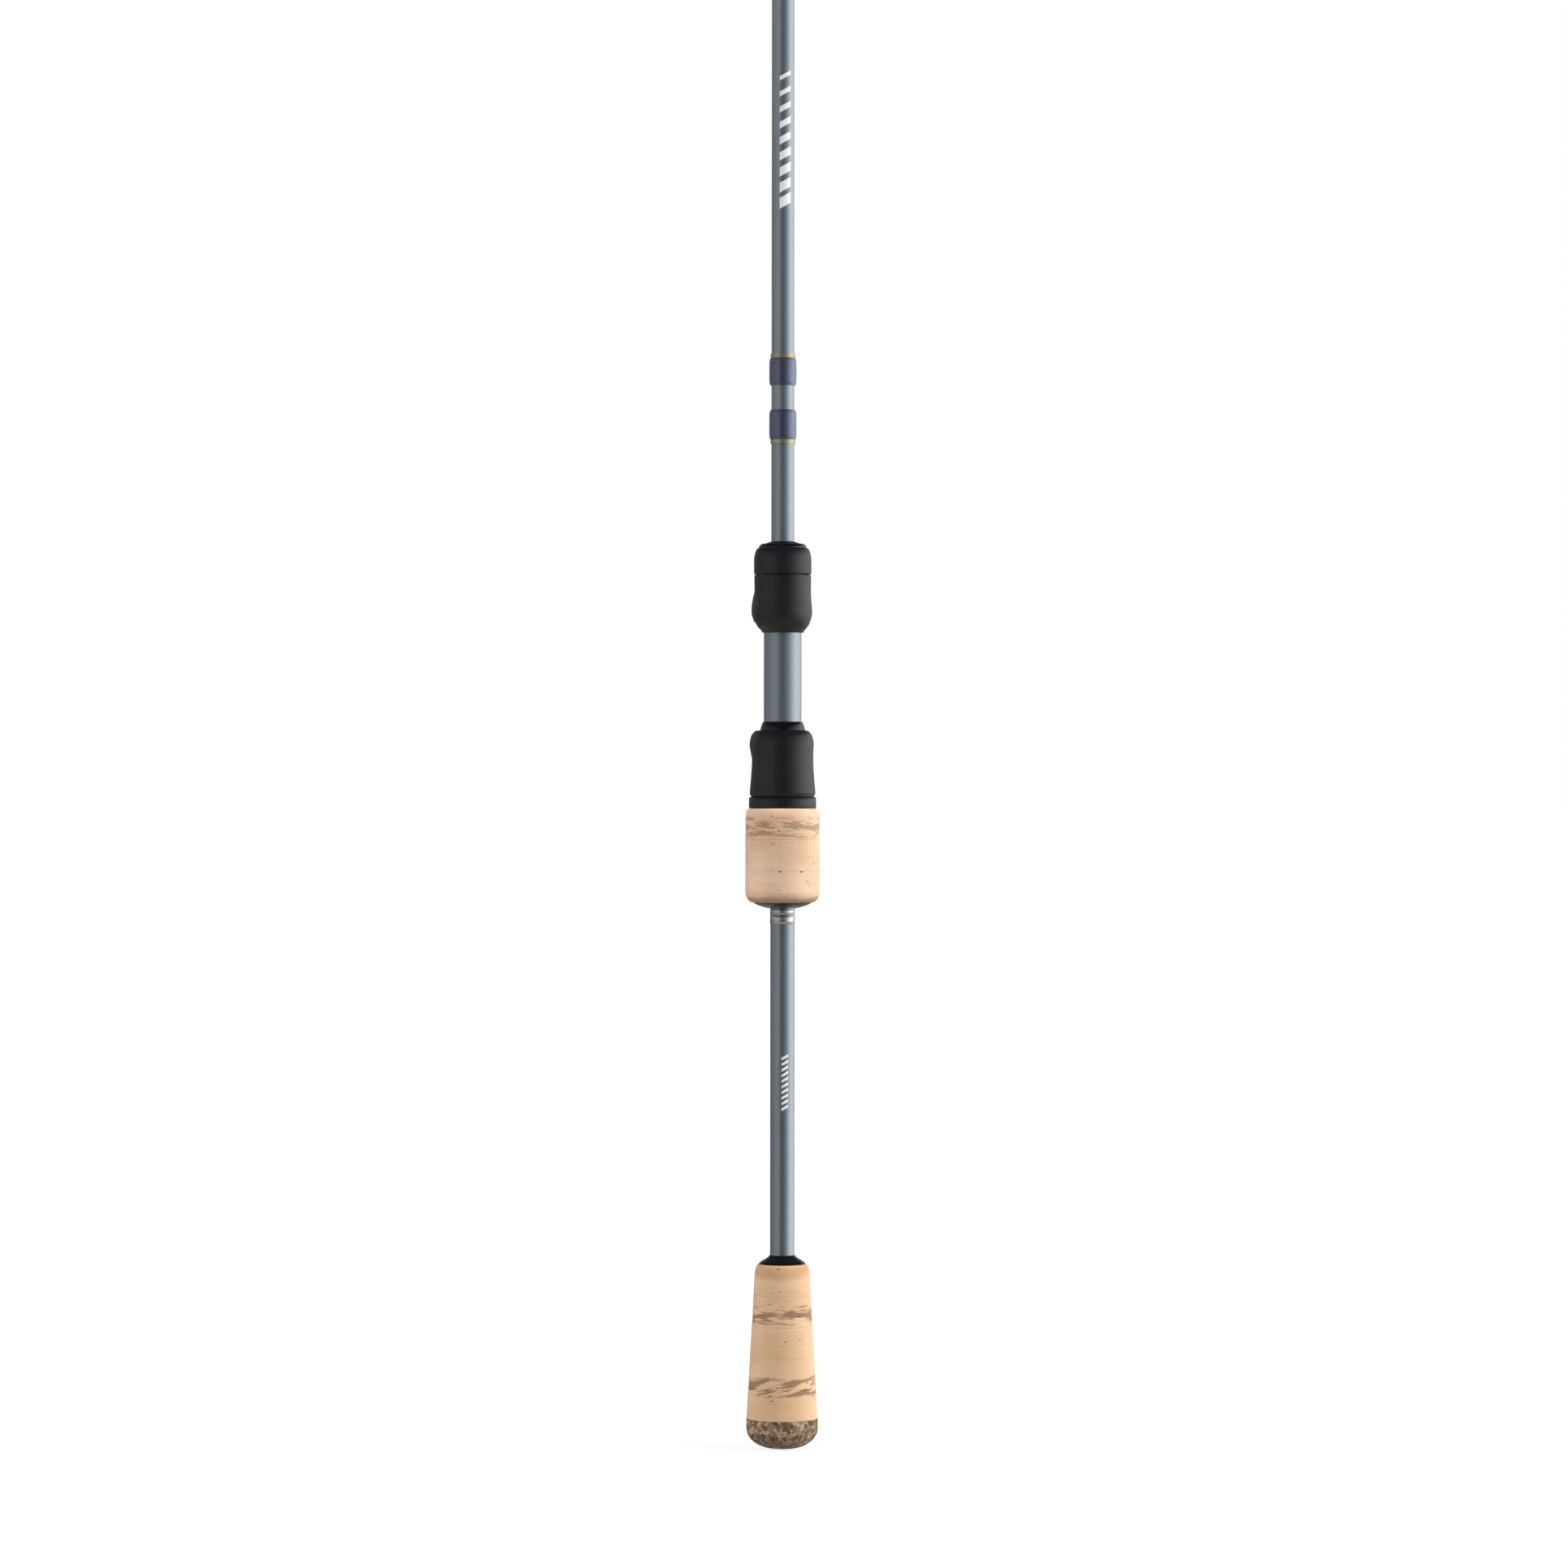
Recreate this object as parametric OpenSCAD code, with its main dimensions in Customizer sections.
// One-piece spinning rod, standing on its butt: the butt face is z = 0, the tip points up,
// and the guides and the reel foot are on the +Y side. Millimetres.

/* [Blank] */
// Length of the rod, from the butt face to the end of the tip-top
rod_length = 1981; // [1850:1:2400]
// Diameter of the blank through the two cork grips
blank_butt_d = 10; // [8:0.1:12]
// Diameter of the blank just above the reel seat
blank_fore_d = 9.4; // [7.5:0.05:11.3]
// Diameter of the blank under the hook keeper, where its main taper starts
blank_mid_d = 9.25; // [7.5:0.05:11.1]
// Diameter of the blank at its tip
blank_tip_d = 1.9; // [1.4:0.05:2.6]
// Wall of the blank at the butt
blank_wall_butt = 1.2; // [0.8:0.05:1.6]
// Wall of the blank at the tip
blank_wall_tip = 0.5; // [0.3:0.05:0.6]
// Bare blank between the butt grip and the rear grip
lower_blank_length = 142.4; // [100:0.1:300]

/* [Cork grips] */
// Height of the composite cork butt cap
butt_cap_h = 12.3; // [10:0.1:16]
// Diameter of the butt cap
butt_cap_d = 29.5; // [26:0.1:34]
// Height of one cork ring in the butt grip
butt_ring_h = 12.68; // [10:0.02:15]
// Diameter of the butt grip next to the butt cap
butt_grip_d = 29.3; // [26:0.1:34]
// Diameter of the butt grip before its top shoulder
butt_grip_top_d = 22.8; // [20:0.1:25]
// Height of the flared winding check on the butt grip
butt_check_h = 3.6; // [2:0.1:6]
// Height of one cork ring in the rear grip
rear_ring_h = 12.9; // [10:0.1:15]
// Diameter of the rear grip
rear_grip_d = 30.6; // [29:0.1:35]

/* [Reel seat] */
// Wall of the arbors between the blank and the seat barrel
arbor_wall = 0.6; // [0.4:0.05:1.2]
// Wall of the seat barrel
barrel_wall = 2.15; // [2.1:0.05:2.6]
// Height of the trim ring above the rear grip
trim_ring_h = 4.6; // [3:0.1:7]
// Height of the fixed rear hood
rear_hood_h = 27.4; // [24:0.1:34]
// Height of the glossy collar above the rear hood
collar_h = 3.6; // [2:0.1:5]
// Bare barrel between the two hoods when the seat is open
seat_gap = 36.4; // [30:0.1:45]
// Height of the moving hood
moving_hood_h = 23.8; // [22:0.1:30]
// Height of the lock nut
lock_nut_h = 12.8; // [11:0.1:16]
// Depth of a hood pocket, which takes one end of the reel foot
pocket_depth = 14; // [12:0.5:16]
// Width of a hood pocket
pocket_w = 17; // [15:0.5:18]
// Clear height of a hood pocket above the barrel
pocket_h = 4.45; // [4.3:0.05:5]
// Thickness of the metal liner in a hood pocket
liner_t = 0.8; // [0.5:0.1:1]
// Pitch of the lock nut's thread
thread_pitch = 2; // [1.5:0.25:2.5]

/* [Hook keeper] */
// Bare blank between the reel seat and the lower keeper wrap
keeper_offset = 40; // [20:1:80]
// Length of the lower keeper wrap
keeper_wrap_low = 14; // [10:0.5:20]
// Bare blank between the two keeper wraps
keeper_gap = 10; // [9:0.5:14]
// Length of the upper keeper wrap
keeper_wrap_high = 13; // [10:0.5:20]
// Thickness of the thread and finish of the keeper wraps
keeper_wrap_t = 0.85; // [0.5:0.05:0.9]
// Diameter of the wire of the folding loop
keeper_wire_d = 1.2; // [1:0.1:1.4]

/* [Guides] */
// Width of a guide foot
foot_w = 2.2; // [1.6:0.1:2.6]
// Thickness of a guide foot
foot_t = 0.8; // [0.5:0.1:1]
// Thickness of the thread and finish over the blank
wrap_t = 0.5; // [0.3:0.05:0.8]

/* [Hidden] */
$fn = 72;

// Clearances
running_fit = 0.08;     // radial, between a turning or sliding piece and what carries it
nut_fit = 0.1;          // radial, between the nut's bore and the thread crests
body_gap = 0.3;         // between faces that move past each other

// Colours
CORK = "#d2b296";
COMPOSITE = "#6b5a48";
BLANK_GREY = "#66717a";
SOFT_BLACK = "#202022";
GLOSS_BLACK = "#08080a";
WRAP_BLUE = "#343a4e";
GOLD = "#a8a57c";
SILVER = "#c4c4c6";
STEEL = "#8d8f92";
CERAMIC = "#2c2c30";

// Heights of the stack, from the butt face up
butt_rings = 5;
rear_rings = 3;
z_butt_cork = butt_cap_h;
z_butt_check = z_butt_cork + butt_rings * butt_ring_h;
z_lower_blank = z_butt_check + butt_check_h;
rear_check_h = 2.3;
z_rear_check = z_lower_blank + lower_blank_length;
z_rear_cork = z_rear_check + rear_check_h;
z_trim_ring = z_rear_cork + rear_rings * rear_ring_h;
z_rear_hood = z_trim_ring + trim_ring_h;
z_collar = z_rear_hood + rear_hood_h;
z_gap = z_collar + collar_h;
z_moving_hood = z_gap + seat_gap;
z_lock_nut = z_moving_hood + moving_hood_h;
z_seat_top = z_lock_nut + lock_nut_h;
front_check_h = 1;
z_fore_blank = z_seat_top + front_check_h;
z_keeper = z_fore_blank + keeper_offset;
z_keeper_gap = z_keeper + keeper_wrap_low;
z_keeper_high = z_keeper_gap + keeper_gap;
z_keeper_top = z_keeper_high + keeper_wrap_high;
taper_length = 150;     // from the keeper to where the main taper starts
z_taper = z_keeper_top + taper_length;

// Blank: stations of its outer diameter, and its bore
blank_start = 6;        // the composite cork closes the butt below this
tip_end_gap = 4;        // from the blank's end to the end of the tip-top
z_blank_end = rod_length - tip_end_gap;
BLANK_D = [
    [blank_start, blank_butt_d],
    [z_rear_cork, blank_butt_d],
    [z_fore_blank, blank_fore_d],
    [z_taper, blank_mid_d],
    [z_blank_end, blank_tip_d]
];
function blank_r(z) = lookup(z, BLANK_D) / 2;

// Reel seat: radii that follow the barrel
barrel_bore_r = blank_butt_d / 2 + arbor_wall;
barrel_r = barrel_bore_r + barrel_wall;
spigot_wall = 0.7;      // of the barrel under the thread sleeve
spigot_r = barrel_bore_r + spigot_wall;
thread_crest_r = barrel_r - 0.15;
thread_root_r = thread_crest_r - 0.65;
sleeve_overlap = 1.3;   // how far the sleeve's foot hides in the closed end of the moving hood
z_sleeve = z_moving_hood + sleeve_overlap;
hood_bore_r = barrel_r + running_fit;
pocket_r = barrel_r + pocket_h;
liner_r = pocket_r + liner_t;
lobe_offset = 3.2;      // the hoods bulge towards the reel foot about this centre
lip_rise = 4.4;         // the lip of the moving hood's pocket stands this far above its round nose
lip_y = 2;              // and begins this far behind the axis
function seat_size(r) = r - 7.75 + barrel_r;

// Nut and hood are held together by a flange that turns in a groove of the hood
neck_h = 2.1;
flange_h = 1.2;
neck_r = thread_crest_r + nut_fit + 1;
flange_r = neck_r + 0.8;
nut_r = thread_crest_r + 2.2;
z_nut = z_lock_nut + body_gap;
z_flange = z_lock_nut - neck_h - flange_h;

// Keyway in the thread sleeve, and the key of the moving hood
key_w = 2.6;
key_h = 2.5;
key_depth = 0.5;
z_key = z_flange - key_h - 0.6;

// Hook keeper
keeper_trim_w = 1.7;
keeper_end_t = 0.35;    // thickness of the wraps at their ends, and of the trim
wrap_end_t = 0.2;
keeper_foot_in = 3;     // each foot stops this far inside its wrap's outer end
keeper_lug_w = 2.6;
keeper_span = 5.8;      // between the wire's two leg centres
keeper_reach = 11;      // from the hinge to the middle of the loop's bow
z_keeper_hinge = z_keeper_gap + keeper_gap / 2;
y_keeper_hinge = blank_r(z_keeper_hinge) + foot_t + keeper_wrap_t + keeper_wire_d / 2 + body_gap;

// Guides, from the butt to the tip
GUIDE_FROM_TIP = [1181, 902, 673, 495, 343, 216, 102];
RING_OD = [25, 16, 12, 8, 7, 6, 6];
RING_ID = [19.6, 11.5, 8.2, 5.2, 4.5, 3.7, 3.7];
RING_HEIGHT = [26, 18, 13.5, 9.5, 8, 6.6, 6.2];
RING_T = [3, 2.4, 2, 1.7, 1.5, 1.4, 1.4];
WIRE_R = [0.85, 0.75, 0.65, 0.55, 0.5, 0.45, 0.45];
FOOT_LENGTH = [15, 13, 12, 10, 9, 8, 8];
GUIDE_REACH = [17, 12, 10, 7.5, 6.5, 5.5, 5.2];
two_footed = 2;         // how many guides, from the butt, stand on two feet
holder_wall = 0.7;      // of the metal round a ring
wrap_past_foot = 2;
heel = 1.6;             // bare foot between the wrap and the legs
function guide_z(i) = rod_length - GUIDE_FROM_TIP[i];

// Tip-top
tip_tube_wall = 0.35;
tip_tube_h = 11;
tip_ring_od = 5.6;
tip_ring_id = 3.6;
tip_ring_t = 1.4;
tip_lift = 4.2;         // ring centre above the rod's axis
tip_wrap_h = 7;
z_tip_tube = z_blank_end - tip_tube_h;

// ---- shared shapes ----

// Quarter ellipse that leaves p parallel to the axis and arrives at q square to it
function shoulder(p, q, n = 8) = [
    for (i = [0:n])
        let (t = 90 * i / n)
            [q[0] + (p[0] - q[0]) * cos(t), p[1] + (q[1] - p[1]) * sin(t)]
];
function reversed(list) = [for (i = [len(list) - 1:-1:0]) list[i]];

// Smooth curve through a list of [radius, height] points
function bend(a, b, c, d, t) =
    0.5 * ((2 * b) + (c - a) * t + (2 * a - 5 * b + 4 * c - d) * t * t
        + (3 * b - a - 3 * c + d) * t * t * t);
function curve(p, n = 4) = concat(
    [
        for (i = [0:len(p) - 2])
            for (k = [0:n - 1])
                bend(p[max(i - 1, 0)], p[i], p[i + 1], p[min(i + 2, len(p) - 1)], k / n)
    ],
    [p[len(p) - 1]]
);

// The blank's surface between two heights, as outline points
function blank_line(z0, z1) = concat(
    [[blank_r(z0), z0]],
    [for (s = BLANK_D) if (s[0] > z0 && s[0] < z1) [s[1] / 2, s[0]]],
    [[blank_r(z1), z1]]
);

module turned(outline) {
    rotate_extrude() polygon(outline);
}

// A turned piece that fits on the blank; its outline runs upwards
module on_blank(outline) {
    last = len(outline) - 1;
    turned(concat(outline, reversed(blank_line(outline[0][1], outline[last][1]))));
}

// A turned piece with a straight bore; its outline runs upwards
module with_bore(outline, r) {
    last = len(outline) - 1;
    turned(concat(outline, [[r, outline[last][1]], [r, outline[0][1]]]));
}

module tube(r_out, r_in, z0, z1) {
    translate([0, 0, z0]) difference() {
        cylinder(r = r_out, h = z1 - z0);
        translate([0, 0, -1]) cylinder(r = r_in, h = z1 - z0 + 2);
    }
}

module bar(p, q, r) {
    d = q - p;
    translate(p) rotate([0, acos(d[2] / norm(d)), atan2(d[1], d[0])]) cylinder(r = r, h = norm(d));
}

// A flat foot that lies along the +Y side of the blank, before the blank is cut out of it
function foot_top(z0) = blank_r(z0) + foot_t;
module foot(z0, z1) {
    translate([-foot_w / 2, 0, z0]) cube([foot_w, foot_top(z0), z1 - z0]);
}

// What the blank takes out of a piece that lies on it
module blank_core(z0, z1) {
    turned(concat([[0, z0]], blank_line(z0, z1), [[0, z1]]));
}

// ---- blank ----

module blank() {
    bore_butt = blank_butt_d / 2 - blank_wall_butt;
    bore_tip = blank_tip_d / 2 - blank_wall_tip;
    color(BLANK_GREY) turned(concat(
        blank_line(blank_start, z_blank_end),
        [
            [bore_tip, z_blank_end],
            [blank_mid_d / 2 - blank_wall_butt, z_taper],
            [blank_fore_d / 2 - blank_wall_butt, z_fore_blank],
            [bore_butt, z_rear_cork],
            [bore_butt, blank_start]
        ]
    ));
}

// ---- butt grip ----

module butt_cap() {
    face_r = 3.5;
    dome_h = 8.3;
    blank_socket = blank_butt_d / 2;
    color(COMPOSITE) turned(concat(
        [[0, 0]],
        reversed(shoulder([butt_cap_d / 2, dome_h], [face_r, 0], 12)),
        [
            [butt_cap_d / 2, butt_cap_h],
            [blank_socket, butt_cap_h],
            [blank_socket, blank_start],
            [0, blank_start]
        ]
    ));
}

butt_shoulder_h = 6;
butt_shoulder_in = 1.75;
z_butt_shoulder = z_butt_check - butt_shoulder_h;
butt_shoulder_r = butt_grip_top_d / 2;
function butt_r(z) = lookup(z, [
    [z_butt_cork, butt_grip_d / 2],
    [z_butt_shoulder, butt_shoulder_r]
]);

module butt_cork_ring(i) {
    z0 = z_butt_cork + (i - 1) * butt_ring_h;
    z1 = z0 + butt_ring_h;
    top = i == butt_rings
        ? shoulder(
            [butt_shoulder_r, z_butt_shoulder],
            [butt_shoulder_r - butt_shoulder_in, z_butt_check]
        )
        : [[butt_r(z1), z1]];
    color(CORK) on_blank(concat([[butt_r(z0), z0]], top));
}

module butt_winding_check() {
    base_r = butt_shoulder_r - butt_shoulder_in;
    color(GLOSS_BLACK) on_blank(curve([
        [base_r, z_butt_check],
        [base_r - 0.7, z_butt_check + butt_check_h * 0.22],
        [base_r - 1.8, z_butt_check + butt_check_h * 0.42],
        [base_r - 3.2, z_butt_check + butt_check_h * 0.64],
        [blank_butt_d / 2 + 0.5, z_butt_check + butt_check_h * 0.86],
        [blank_butt_d / 2 + 0.15, z_lower_blank]
    ]));
}

// ---- rear grip ----

module rear_trim_bands() {
    band_r = blank_butt_d / 2 + 0.1;
    wide_h = 3.4;
    narrow_h = 2;
    space = 0.6;
    foot = 0.4;
    z_narrow = z_rear_check - foot - narrow_h;
    color(SILVER) {
        tube(band_r, blank_butt_d / 2, z_narrow, z_narrow + narrow_h);
        tube(band_r, blank_butt_d / 2, z_narrow - space - wide_h, z_narrow - space);
    }
}

rear_corner_in = 3.4;
rear_corner_h = 4.6;
rear_top_in = 1.5;
rear_top_h = 4.6;

module rear_winding_check() {
    outer_r = rear_grip_d / 2 - rear_corner_in;
    color(GLOSS_BLACK) on_blank(curve([
        [blank_butt_d / 2 + 0.4, z_rear_check],
        [blank_butt_d / 2 + 2.3, z_rear_check + rear_check_h * 0.16],
        [outer_r - 2.6, z_rear_check + rear_check_h * 0.42],
        [outer_r - 1, z_rear_check + rear_check_h * 0.7],
        [outer_r, z_rear_cork]
    ]));
}

module rear_cork_ring(i) {
    z0 = z_rear_cork + (i - 1) * rear_ring_h;
    z1 = z0 + rear_ring_h;
    r = rear_grip_d / 2;
    bottom = i == 1
        ? reversed(shoulder([r, z0 + rear_corner_h], [r - rear_corner_in, z0]))
        : [[r, z0]];
    top = i == rear_rings ? shoulder([r, z1 - rear_top_h], [r - rear_top_in, z1]) : [[r, z1]];
    color(CORK) on_blank(concat(bottom, top));
}

// ---- reel seat, fixed ----

module seat_trim_ring() {
    r = seat_size(13.85);
    color(SOFT_BLACK) with_bore([
        [r - 0.2, z_trim_ring],
        [r, z_trim_ring + 0.4],
        [r - 0.1, z_rear_hood - 0.3],
        [r - 0.4, z_rear_hood]
    ], barrel_r);
}

// Room for one end of the reel foot, from z0 to z1
module foot_room(z0, z1, r) {
    intersection() {
        translate([0, 0, z0]) cylinder(r = r, h = z1 - z0);
        translate([-pocket_w / 2 - (r - pocket_r), 0, z0])
            cube([pocket_w + 2 * (r - pocket_r), r + 1, z1 - z0]);
    }
}

module hood_lining(z0, z1) {
    color(STEEL) difference() {
        foot_room(z0, z1, liner_r);
        translate([0, 0, z0 - 1]) cylinder(r = pocket_r, h = z1 - z0 + 2);
        translate([-liner_r, -1, z0 - 1])
            cube([2 * liner_r, sqrt(pow(pocket_r, 2) - pow(pocket_w / 2, 2)) * 0.82 + 1, z1 - z0 + 2]);
    }
}

z_rear_pocket = z_gap - pocket_depth;

module rear_hood() {
    groove_h = 1.4;
    z0 = z_rear_hood + groove_h;
    h = z_collar - z0;
    color(SOFT_BLACK) difference() {
        union() {
            with_bore([
                [seat_size(13.1), z_rear_hood],
                [seat_size(13.1), z0]
            ], barrel_r);
            with_bore(curve([
                [seat_size(13.4), z0],
                [seat_size(13.5), z0 + 0.5],
                [seat_size(12.85), z0 + h * 0.33],
                [seat_size(12.6), z0 + h * 0.55],
                [seat_size(12.7), z0 + h * 0.76],
                [seat_size(12.1), z0 + h * 0.9],
                [seat_size(11.2), z0 + h * 0.97],
                [seat_size(9.9), z_collar]
            ]), barrel_r);
            translate([0, lobe_offset, 0]) turned(concat([[0, z0 + h * 0.2]], curve([
                [seat_size(8.6), z0 + h * 0.2],
                [seat_size(11.6), z0 + h * 0.46],
                [seat_size(12.9), z0 + h * 0.68],
                [seat_size(13.2), z0 + h * 0.8],
                [seat_size(12.5), z0 + h * 0.92],
                [seat_size(11.3), z0 + h * 0.98],
                [seat_size(10.6), z_collar]
            ]), [[0, z_collar]]));
        }
        translate([0, 0, z_rear_hood - 1]) cylinder(r = barrel_r, h = rear_hood_h + 2);
        foot_room(z_rear_pocket, z_collar + 1, liner_r);
    }
}

module rear_hood_liner() {
    hood_lining(z_rear_pocket, z_collar - 0.4);
}

module hood_collar() {
    color(GLOSS_BLACK) difference() {
        with_bore(curve([
            [seat_size(9.3), z_collar],
            [seat_size(9), z_collar + collar_h * 0.36],
            [seat_size(8.55), z_collar + collar_h * 0.75],
            [seat_size(8), z_gap]
        ]), barrel_r);
        foot_room(z_collar - 1, z_gap + 1, liner_r);
    }
}

module seat_barrel() {
    color(BLANK_GREY) with_bore([
        [barrel_r, z_trim_ring],
        [barrel_r, z_sleeve],
        [spigot_r, z_sleeve],
        [spigot_r, z_seat_top]
    ], barrel_bore_r);
}

module seat_arbors() {
    arbor_h = 10;
    first = z_trim_ring + 4;
    last = z_seat_top - arbor_h - 4;
    color(STEEL) for (k = [0:2]) {
        z0 = first + (last - first) * k / 2;
        on_blank([[barrel_bore_r, z0], [barrel_bore_r, z0 + arbor_h]]);
    }
}

module thread_sleeve() {
    runout = 1;
    turns = floor((z_seat_top - z_sleeve - 2 * runout) / thread_pitch);
    z0 = z_seat_top - runout - turns * thread_pitch;
    ridges = [
        for (i = [0:turns - 1])
            each [
                [thread_crest_r, z0 + i * thread_pitch],
                [thread_root_r, z0 + (i + 0.3) * thread_pitch],
                [thread_root_r, z0 + (i + 0.5) * thread_pitch],
                [thread_crest_r, z0 + (i + 0.8) * thread_pitch]
            ]
    ];
    color(SOFT_BLACK) difference() {
        with_bore(
            concat([[thread_crest_r, z_sleeve]], ridges, [[thread_crest_r, z_seat_top]]),
            spigot_r
        );
        translate([-key_w / 2 - body_gap, -thread_crest_r - 1, z_sleeve - 1])
            cube([key_w + 2 * body_gap, thread_crest_r - thread_root_r + 1, z_seat_top - z_sleeve + 2]);
    }
}

module front_winding_check() {
    color(GLOSS_BLACK) on_blank([
        [spigot_r + 0.6, z_seat_top],
        [spigot_r + 0.4, z_seat_top + 0.3],
        [blank_fore_d / 2 + 0.1, z_fore_blank]
    ]);
}

// ---- reel seat, moving ----

module moving_hood() {
    z0 = z_moving_hood;
    h = moving_hood_h;
    z1 = z0 + h;
    groove_r = flange_r + body_gap;
    color(SOFT_BLACK) difference() {
        union() {
            turned(concat([[0, z0]], curve([
                [seat_size(8.3), z0],
                [seat_size(9.2), z0 + 1.3],
                [seat_size(10.3), z0 + 2.6],
                [seat_size(11.1), z0 + 4.1],
                [seat_size(11.9), z0 + 6.6],
                [seat_size(12.15), z0 + 9],
                [seat_size(11.8), z0 + 13],
                [seat_size(11.6), z0 + 18],
                [seat_size(11.7), z1]
            ]), [[0, z1]]));
            translate([0, lobe_offset, 0]) turned(concat([[0, z0]], curve([
                [seat_size(7.8), z0],
                [seat_size(9), z0 + 1.3],
                [seat_size(10.2), z0 + 2.6],
                [seat_size(11.1), z0 + 4.1],
                [seat_size(12.1), z0 + 6.6],
                [seat_size(12.5), z0 + 9.2],
                [seat_size(12), z0 + 14],
                [seat_size(10.6), z0 + 19],
                [seat_size(8.4), z1]
            ]), [[0, z1]]));
        }
        difference() {
            translate([0, 0, z0 - 1]) cylinder(r = hood_bore_r, h = h + 2);
            translate([-key_w / 2, -hood_bore_r - 1, z_key])
                cube([key_w, hood_bore_r + 1 - thread_crest_r + key_depth, key_h]);
        }
        foot_room(z0 - 1, z0 + pocket_depth, liner_r);
        translate([-h, lip_y, z0 - 1]) cube([2 * h, h, lip_rise + 1]);
        translate([0, 0, z_flange - body_gap]) cylinder(r = groove_r, h = flange_h + 2 * body_gap);
        translate([0, 0, z_flange]) cylinder(r = neck_r + body_gap, h = neck_h + flange_h + 1);
    }
}

module moving_hood_liner() {
    hood_lining(z_moving_hood + lip_rise + 0.3, z_moving_hood + pocket_depth);
}

z_cap = z_seat_top - 2;

module nut_insert() {
    color(GLOSS_BLACK) with_bore([
        [flange_r, z_flange],
        [flange_r, z_flange + flange_h],
        [neck_r, z_flange + flange_h],
        [neck_r, z_nut],
        [nut_r, z_nut],
        [nut_r, z_cap]
    ], thread_crest_r + nut_fit);
}

module foregrip() {
    r = seat_size(11.8);
    color(SOFT_BLACK) with_bore(concat(
        [[r - 0.25, z_nut], [r - 0.05, z_nut + 0.3], [r, z_nut + 1.5]],
        shoulder([r, z_cap - 5.3], [nut_r + 0.05, z_cap + 0.3], 10)
    ), nut_r);
}

module foregrip_cap() {
    color(GLOSS_BLACK) with_bore(concat(
        [[nut_r, z_cap]],
        shoulder([nut_r, z_cap + 0.3], [thread_crest_r + nut_fit + 0.5, z_seat_top], 6)
    ), thread_crest_r + nut_fit);
}

// ---- hook keeper ----

module keeper_base() {
    foot_z0 = z_keeper + keeper_foot_in;
    foot_z1 = z_keeper_top - keeper_foot_in;
    lug_r = keeper_wire_d / 2 + 0.8;
    color(STEEL) difference() {
        union() {
            foot(foot_z0, foot_z1);
            translate([-keeper_lug_w / 2, y_keeper_hinge, z_keeper_hinge])
                rotate([0, 90, 0]) cylinder(r = lug_r, h = keeper_lug_w);
            translate([-keeper_lug_w / 2, 0, z_keeper_hinge - lug_r])
                cube([keeper_lug_w, y_keeper_hinge, 2 * lug_r]);
        }
        blank_core(foot_z0 - 1, foot_z1 + 1);
        translate([-keeper_lug_w, y_keeper_hinge, z_keeper_hinge])
            rotate([0, 90, 0]) cylinder(r = keeper_wire_d / 2 + running_fit, h = 2 * keeper_lug_w);
    }
}

// A wire bail: a pin through the lug, two legs and a round bow
module keeper_loop() {
    r = keeper_wire_d / 2;
    side = keeper_span / 2;
    bow_z = z_keeper_hinge - keeper_reach + side;
    color(STEEL) {
        bar([-side, y_keeper_hinge, z_keeper_hinge], [side, y_keeper_hinge, z_keeper_hinge], r);
        for (x = [-side, side]) {
            bar([x, y_keeper_hinge, bow_z], [x, y_keeper_hinge, z_keeper_hinge], r);
            translate([x, y_keeper_hinge, z_keeper_hinge]) sphere(r = r);
        }
        translate([0, y_keeper_hinge, bow_z]) rotate([90, 0, 0]) rotate([0, 0, 180])
            rotate_extrude(angle = 180) translate([side, 0]) circle(r = r);
    }
}

// Thread over a foot: a barrel shape round the blank, with a ridge over the foot
module wrap(z0, z1, foot_z0, foot_z1, t, end_t) {
    ease = (t - end_t) * 3;
    difference() {
        union() {
            turned(concat([[0, z0]], curve([
                [blank_r(z0) + end_t, z0],
                [blank_r(z0) + t * 0.7 + end_t * 0.3, z0 + ease * 0.6],
                [blank_r(z0) + t, z0 + ease * 1.7],
                [blank_r(z1) + t, z1 - ease * 1.7],
                [blank_r(z1) + t * 0.7 + end_t * 0.3, z1 - ease * 0.6],
                [blank_r(z1) + end_t, z1]
            ]), [[0, z1]]));
            translate([0, 0, z0 + ease * 0.5]) linear_extrude(z1 - z0 - ease) hull() {
                circle(r = blank_r(z0) + end_t);
                translate([-foot_w / 2, 0]) square([foot_w, foot_top(foot_z0) + t * 0.6]);
            }
        }
        blank_core(z0 - 1, z1 + 1);
        foot(foot_z0, foot_z1);
    }
}

module keeper_wraps() {
    foot_z0 = z_keeper + keeper_foot_in;
    foot_z1 = z_keeper_top - keeper_foot_in;
    color(WRAP_BLUE) {
        wrap(z_keeper + keeper_trim_w, z_keeper_gap, foot_z0, foot_z1, keeper_wrap_t, keeper_end_t);
        wrap(z_keeper_high, z_keeper_top - keeper_trim_w, foot_z0, foot_z1, keeper_wrap_t, keeper_end_t);
    }
}

module keeper_trim() {
    color(GOLD) for (z = [z_keeper, z_keeper_top - keeper_trim_w]) {
        on_blank([[blank_r(z) + keeper_end_t, z], [blank_r(z) + keeper_end_t, z + keeper_trim_w]]);
    }
}

// ---- guides ----

// Outer ends of the feet, as [start, end] heights
function tip_foot(i) = [guide_z(i) + GUIDE_REACH[i], guide_z(i) + GUIDE_REACH[i] + FOOT_LENGTH[i] + heel];
function butt_foot(i) = [guide_z(i) - GUIDE_REACH[i] - FOOT_LENGTH[i] - heel, guide_z(i) - GUIDE_REACH[i]];
function feet(i) = i < two_footed ? [tip_foot(i), butt_foot(i)] : [tip_foot(i)];

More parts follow.
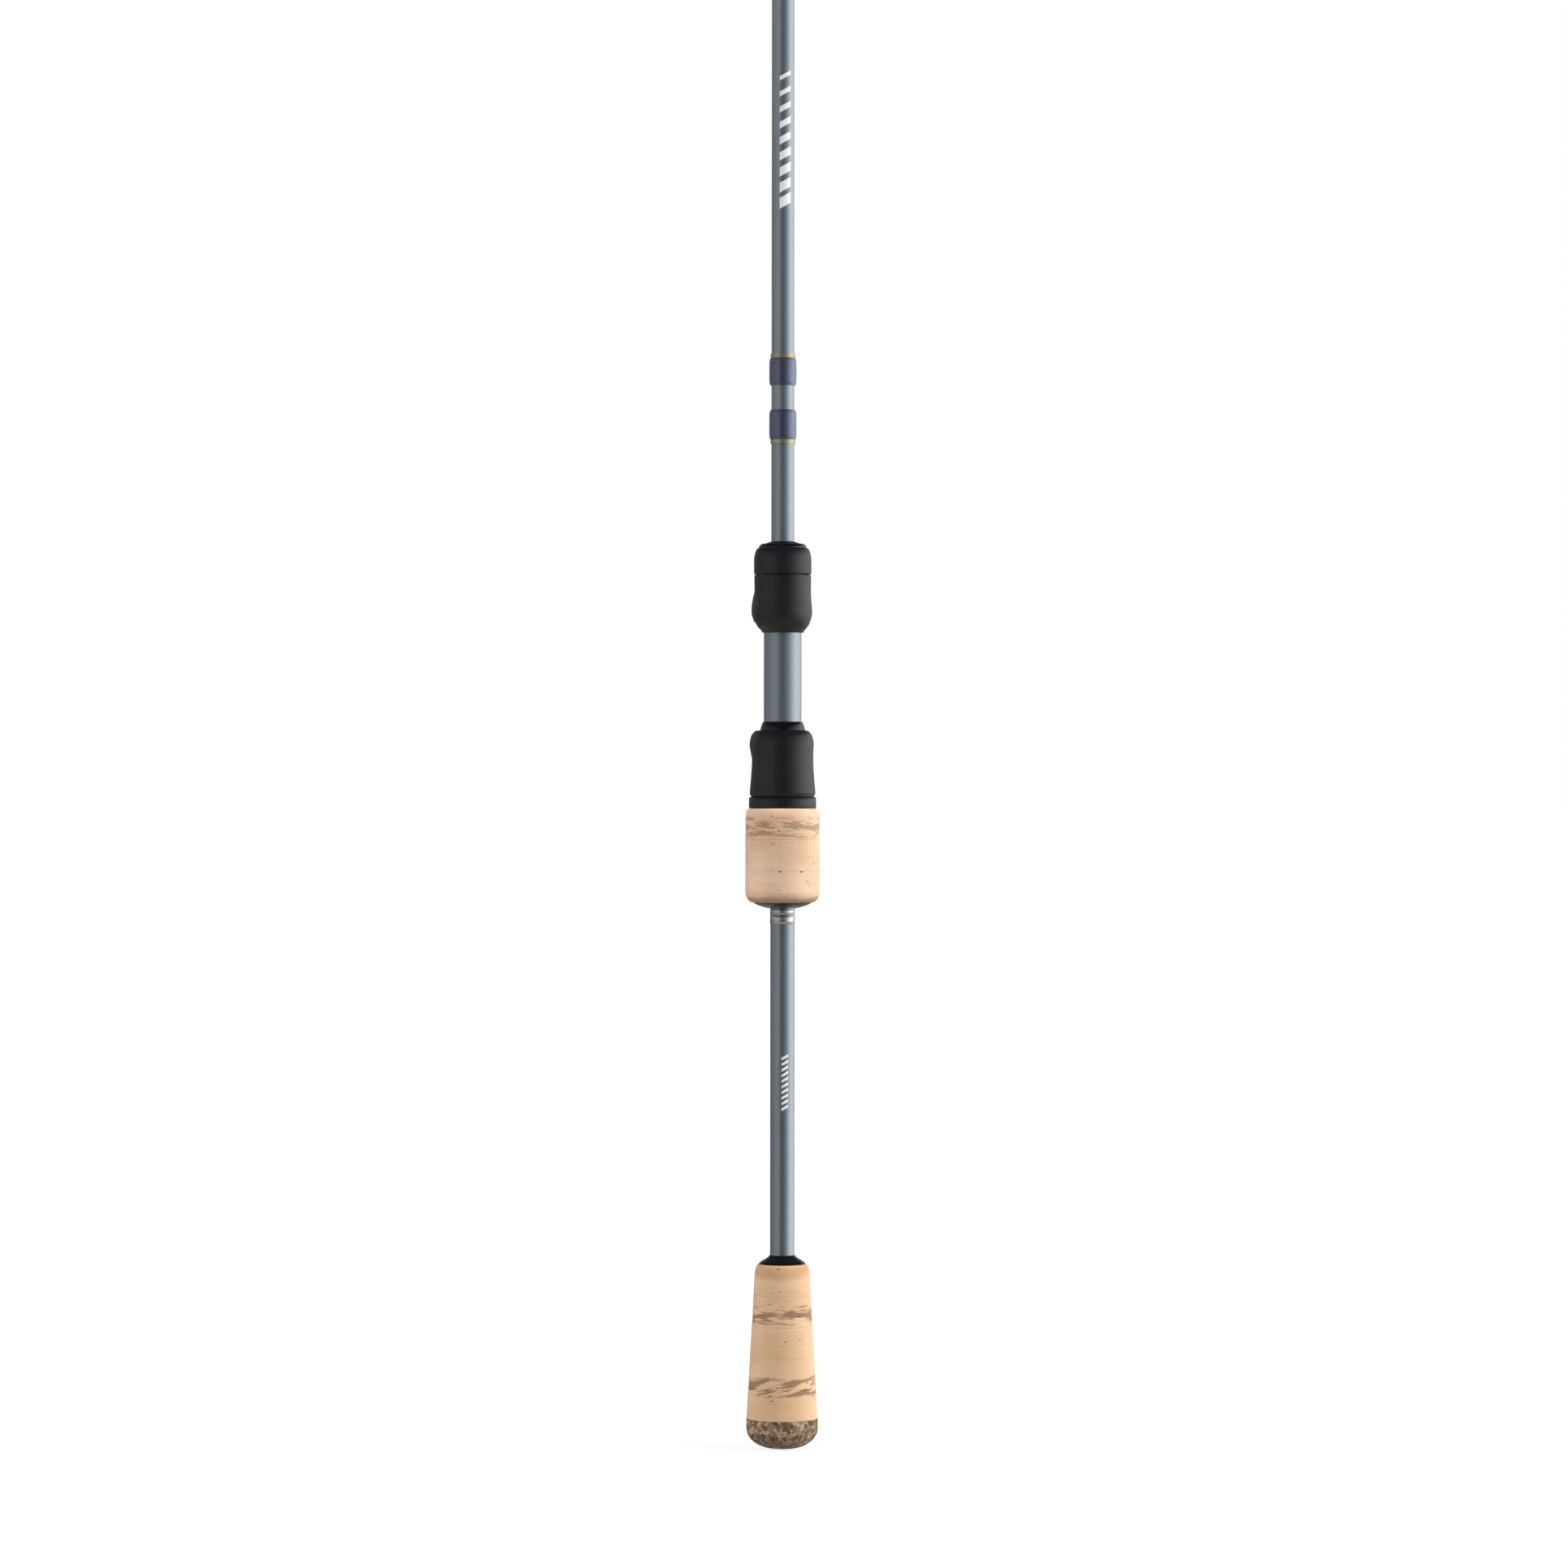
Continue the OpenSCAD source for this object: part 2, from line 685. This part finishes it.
module guide_frame(i) {
    z = guide_z(i);
    h = RING_HEIGHT[i];
    holder_r = RING_OD[i] / 2 + holder_wall;
    holder_t = RING_T[i] * 0.7;
    w = WIRE_R[i];
    color(STEEL) difference() {
        union() {
            translate([0, h, 0]) tube(holder_r, RING_OD[i] / 2, z - holder_t / 2, z + holder_t / 2);
            for (span = feet(i)) {
                up = span[0] > z;
                z_near = up ? span[0] : span[1];
                grip_angle = up ? 40 : 28;
                side = (holder_r + w * 0.2) * cos(grip_angle);
                drop = (holder_r + w * 0.2) * sin(grip_angle);
                x_foot = foot_w / 2 - w * 0.6;
                y_foot = blank_r(z_near) + foot_t * 0.65;
                z_foot = z_near + (up ? w : -w);
                foot(span[0], span[1]);
                for (s = [-1, 1]) {
                    bar([s * side, h - drop, z + (up ? -0.1 : 0.1)], [s * x_foot, y_foot, z_foot], w);
                }
            }
        }
        translate([0, h, z - holder_t * 2]) cylinder(r = RING_OD[i] / 2, h = holder_t * 4);
        for (span = feet(i)) {
            blank_core(span[0] - 3, span[1] + 3);
        }
    }
}

// A ceramic ring with a rounded bore
module line_ring(od, id, t) {
    wall = (od - id) / 2;
    rotate_extrude() intersection() {
        translate([id / 2, -t / 2]) square([wall, t]);
        translate([od / 2, 0]) circle(r = max(wall, t / 2) * 1.02);
    }
}

module guide_ring(i) {
    color(CERAMIC) translate([0, RING_HEIGHT[i], guide_z(i)])
        line_ring(RING_OD[i], RING_ID[i], RING_T[i]);
}

module guide_wraps(i) {
    color(WRAP_BLUE) for (span = feet(i)) {
        up = span[0] > guide_z(i);
        z0 = up ? span[0] + heel : span[0] - wrap_past_foot;
        z1 = up ? span[1] + wrap_past_foot : span[1] - heel;
        wrap(z0, z1, span[0], span[1], wrap_t, wrap_end_t);
    }
}

// ---- tip-top ----

module tip_frame() {
    r = blank_r(z_tip_tube) + tip_tube_wall;
    w = 0.5;
    z_ring = rod_length - tip_ring_t / 2;
    holder_r = tip_ring_od / 2 + 0.5;
    color(STEEL) difference() {
        union() {
            translate([0, 0, z_tip_tube]) cylinder(r = r, h = tip_tube_h + 1);
            translate([0, tip_lift, 0])
                tube(holder_r, tip_ring_od / 2, z_ring - 0.5, z_ring + 0.5);
            for (s = [-1, 1]) {
                bar([s * r * 0.8, 0, z_tip_tube + 5], [s * holder_r * 0.93, tip_lift, z_ring], w);
            }
            bar([0, r * 0.7, z_blank_end], [0, tip_lift - holder_r + 0.3, z_ring], w);
        }
        blank_core(z_tip_tube - 1, z_blank_end);
        translate([0, tip_lift, z_ring - 4]) cylinder(r = tip_ring_od / 2, h = 8);
    }
}

module tip_ring() {
    color(CERAMIC) translate([0, tip_lift, rod_length - tip_ring_t / 2])
        line_ring(tip_ring_od, tip_ring_id, tip_ring_t);
}

module tip_wrap() {
    z0 = z_tip_tube - tip_wrap_h;
    color(WRAP_BLUE) on_blank([
        [blank_r(z0) + 0.15, z0],
        [blank_r(z0) + tip_tube_wall, z0 + 1],
        [blank_r(z0) + tip_tube_wall, z_tip_tube]
    ]);
}

blank();
butt_cap();
for (i = [1:butt_rings]) butt_cork_ring(i);
butt_winding_check();
rear_trim_bands();
rear_winding_check();
for (i = [1:rear_rings]) rear_cork_ring(i);
seat_trim_ring();
rear_hood();
rear_hood_liner();
hood_collar();
seat_barrel();
seat_arbors();
thread_sleeve();
front_winding_check();
moving_hood();
moving_hood_liner();
nut_insert();
foregrip();
foregrip_cap();
keeper_base();
keeper_loop();
keeper_wraps();
keeper_trim();
for (i = [1:len(GUIDE_FROM_TIP)]) {
    guide_frame(i - 1);
    guide_ring(i - 1);
    guide_wraps(i - 1);
}
tip_frame();
tip_ring();
tip_wrap();
